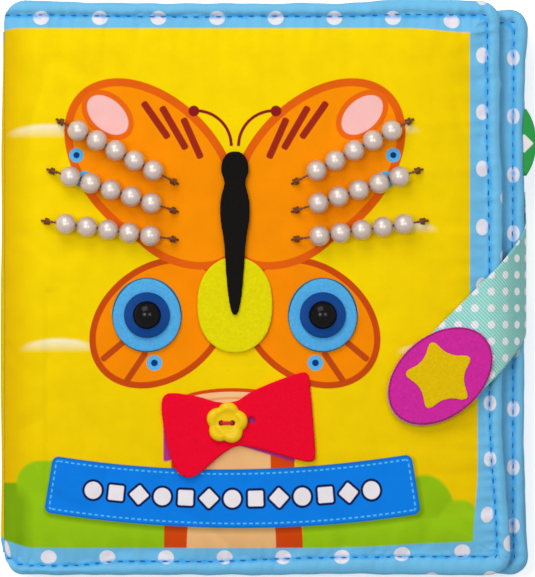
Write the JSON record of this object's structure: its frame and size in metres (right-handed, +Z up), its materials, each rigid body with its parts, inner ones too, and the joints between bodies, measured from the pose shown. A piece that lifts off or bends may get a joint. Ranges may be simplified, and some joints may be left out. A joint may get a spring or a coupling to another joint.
{
  "type": "crinkle cloth book",
  "caption": "Padded cloth book with a folded spine, a ribbon strap that closes over the fore edge, sliding bead rows and a turning felt bow on its front cover.",
  "frame": {"origin": "middle of the back cover's underside, on which the closed book lies", "axes": "+Z up through the leaves to the front cover; +Y from the foot of the book to its head; +X from the spine to the fore edge"},
  "size_m": [0.2057, 0.221, 0.0369],
  "materials": {
    "printed_cotton": "printed plain weave, matt",
    "dotted_cotton": "polka-dot printed plain weave, matt",
    "plain_cotton": "plain weave, matt",
    "polyester_wadding": "fluffy sheet",
    "crinkle_film": "clear film",
    "light_blue_felt": "felt",
    "black_felt": "felt",
    "yellow_felt": "felt",
    "red_felt": "felt",
    "magenta_felt": "felt",
    "pale_felt": "felt",
    "pearl_lacquer": "pearl lacquer",
    "domed_plastic": "moulded, glossy",
    "yellow_button_plastic": "moulded, glossy",
    "grosgrain_ribbon": "ribbed ribbon with pale dots",
    "hook_and_loop_tape": "hook and loop tape",
    "green_satin_tab": "satin"
  },
  "bodies": {
    "back_cover": {"back_cover_cloth": "printed_cotton", "back_cover_crinkle_film": "crinkle_film", "back_cover_wadding": "polyester_wadding", "back_cover_lining": "dotted_cotton", "spine_cloth": "printed_cotton"},
    "inner_leaf_2": {"inner_leaf_2_lower_cloth": "plain_cotton", "inner_leaf_2_wadding": "polyester_wadding", "inner_leaf_2_upper_cloth": "plain_cotton"},
    "inner_leaf_1": {"inner_leaf_1_lower_cloth": "plain_cotton", "inner_leaf_1_wadding": "polyester_wadding", "inner_leaf_1_upper_cloth": "plain_cotton", "page_tab": "green_satin_tab"},
    "front_cover": {"front_cover_lining": "dotted_cotton", "front_cover_wadding": "polyester_wadding", "front_cover_crinkle_film": "crinkle_film", "front_cover_cloth": "printed_cotton", "left_oval_felt": "light_blue_felt", "right_oval_felt": "light_blue_felt", "left_domed_disc": "domed_plastic", "right_domed_disc": "domed_plastic", "tail_felt": "yellow_felt", "body_felt": "black_felt", "flower_button": "yellow_button_plastic", "strap_loop_tape": "hook_and_loop_tape"},
    "bow": {"felt_bow": "red_felt"},
    "strap_side": {"strap_side_ribbon": "grosgrain_ribbon"},
    "strap_flap": {"strap_top_ribbon": "grosgrain_ribbon", "strap_hook_tape": "hook_and_loop_tape", "strap_patch_backing": "pale_felt", "strap_patch_felt": "magenta_felt"},
    "bead_row_left_1": {"pearl_left_1_1": "pearl_lacquer", "pearl_left_1_2": "pearl_lacquer", "pearl_left_1_3": "pearl_lacquer", "pearl_left_1_4": "pearl_lacquer", "pearl_left_1_5": "pearl_lacquer"},
    "bead_row_left_2": {"pearl_left_2_1": "pearl_lacquer", "pearl_left_2_2": "pearl_lacquer", "pearl_left_2_3": "pearl_lacquer", "pearl_left_2_4": "pearl_lacquer", "pearl_left_2_5": "pearl_lacquer"},
    "bead_row_left_3": {"pearl_left_3_1": "pearl_lacquer", "pearl_left_3_2": "pearl_lacquer", "pearl_left_3_3": "pearl_lacquer", "pearl_left_3_4": "pearl_lacquer", "pearl_left_3_5": "pearl_lacquer"},
    "bead_row_right_1": {"pearl_right_1_1": "pearl_lacquer", "pearl_right_1_2": "pearl_lacquer", "pearl_right_1_3": "pearl_lacquer", "pearl_right_1_4": "pearl_lacquer", "pearl_right_1_5": "pearl_lacquer"},
    "bead_row_right_2": {"pearl_right_2_1": "pearl_lacquer", "pearl_right_2_2": "pearl_lacquer", "pearl_right_2_3": "pearl_lacquer", "pearl_right_2_4": "pearl_lacquer", "pearl_right_2_5": "pearl_lacquer"},
    "bead_row_right_3": {"pearl_right_3_1": "pearl_lacquer", "pearl_right_3_2": "pearl_lacquer", "pearl_right_3_3": "pearl_lacquer", "pearl_right_3_4": "pearl_lacquer", "pearl_right_3_5": "pearl_lacquer"}
  },
  "joints": [
    {"name": "inner_leaf_2_turn", "type": "hinge", "parent": "back_cover", "child": "inner_leaf_2", "pos_m": [-0.1006, 0, 0.01865], "axis": [0, -1, 0], "range_deg": [0, 180]},
    {"name": "inner_leaf_1_turn", "type": "hinge", "parent": "inner_leaf_2", "child": "inner_leaf_1", "pos_m": [-0.1006, 0, 0.01865], "axis": [0, -1, 0], "range_deg": [0, 180]},
    {"name": "front_cover_turn", "type": "hinge", "parent": "inner_leaf_1", "child": "front_cover", "pos_m": [-0.1006, 0, 0.01865], "axis": [0, -1, 0], "range_deg": [0, 180], "deforming": ["spine_cloth"]},
    {"name": "bow_turn", "type": "hinge", "parent": "front_cover", "child": "bow", "pos_m": [-0.0143, -0.05039, 0.0287], "axis": [0, 0, 1], "range_deg": [-15, 15]},
    {"name": "strap_side_fold", "type": "hinge", "parent": "back_cover", "child": "strap_side", "pos_m": [0.10115, 0, 0.0035], "axis": [0, 1, 0], "range_deg": [0, 90], "deforming": ["strap_side_ribbon"]},
    {"name": "strap_flap_fold", "type": "hinge", "parent": "strap_side", "child": "strap_flap", "pos_m": [0.10115, 0, 0.0209], "axis": [0, 1, 0], "range_deg": [0, 90], "deforming": ["strap_top_ribbon", "strap_hook_tape", "strap_patch_backing", "strap_patch_felt"]},
    {"name": "bead_row_left_1_slide", "type": "slide", "parent": "front_cover", "child": "bead_row_left_1", "axis": [-0.8829, 0.4695, 0], "range_m": [-0.00218, 0.00082]},
    {"name": "bead_row_left_2_slide", "type": "slide", "parent": "front_cover", "child": "bead_row_left_2", "axis": [-0.9511, 0.309, 0], "range_m": [-0.00218, 0.00082]},
    {"name": "bead_row_left_3_slide", "type": "slide", "parent": "front_cover", "child": "bead_row_left_3", "axis": [-0.9903, 0.1392, 0], "range_m": [-0.00218, 0.00082]},
    {"name": "bead_row_right_1_slide", "type": "slide", "parent": "front_cover", "child": "bead_row_right_1", "axis": [0.8829, 0.4695, 0], "range_m": [-0.00218, 0.00082]},
    {"name": "bead_row_right_2_slide", "type": "slide", "parent": "front_cover", "child": "bead_row_right_2", "axis": [0.9511, 0.309, 0], "range_m": [-0.00218, 0.00082]},
    {"name": "bead_row_right_3_slide", "type": "slide", "parent": "front_cover", "child": "bead_row_right_3", "axis": [0.9903, 0.1392, 0], "range_m": [-0.00218, 0.00082]}
  ]
}
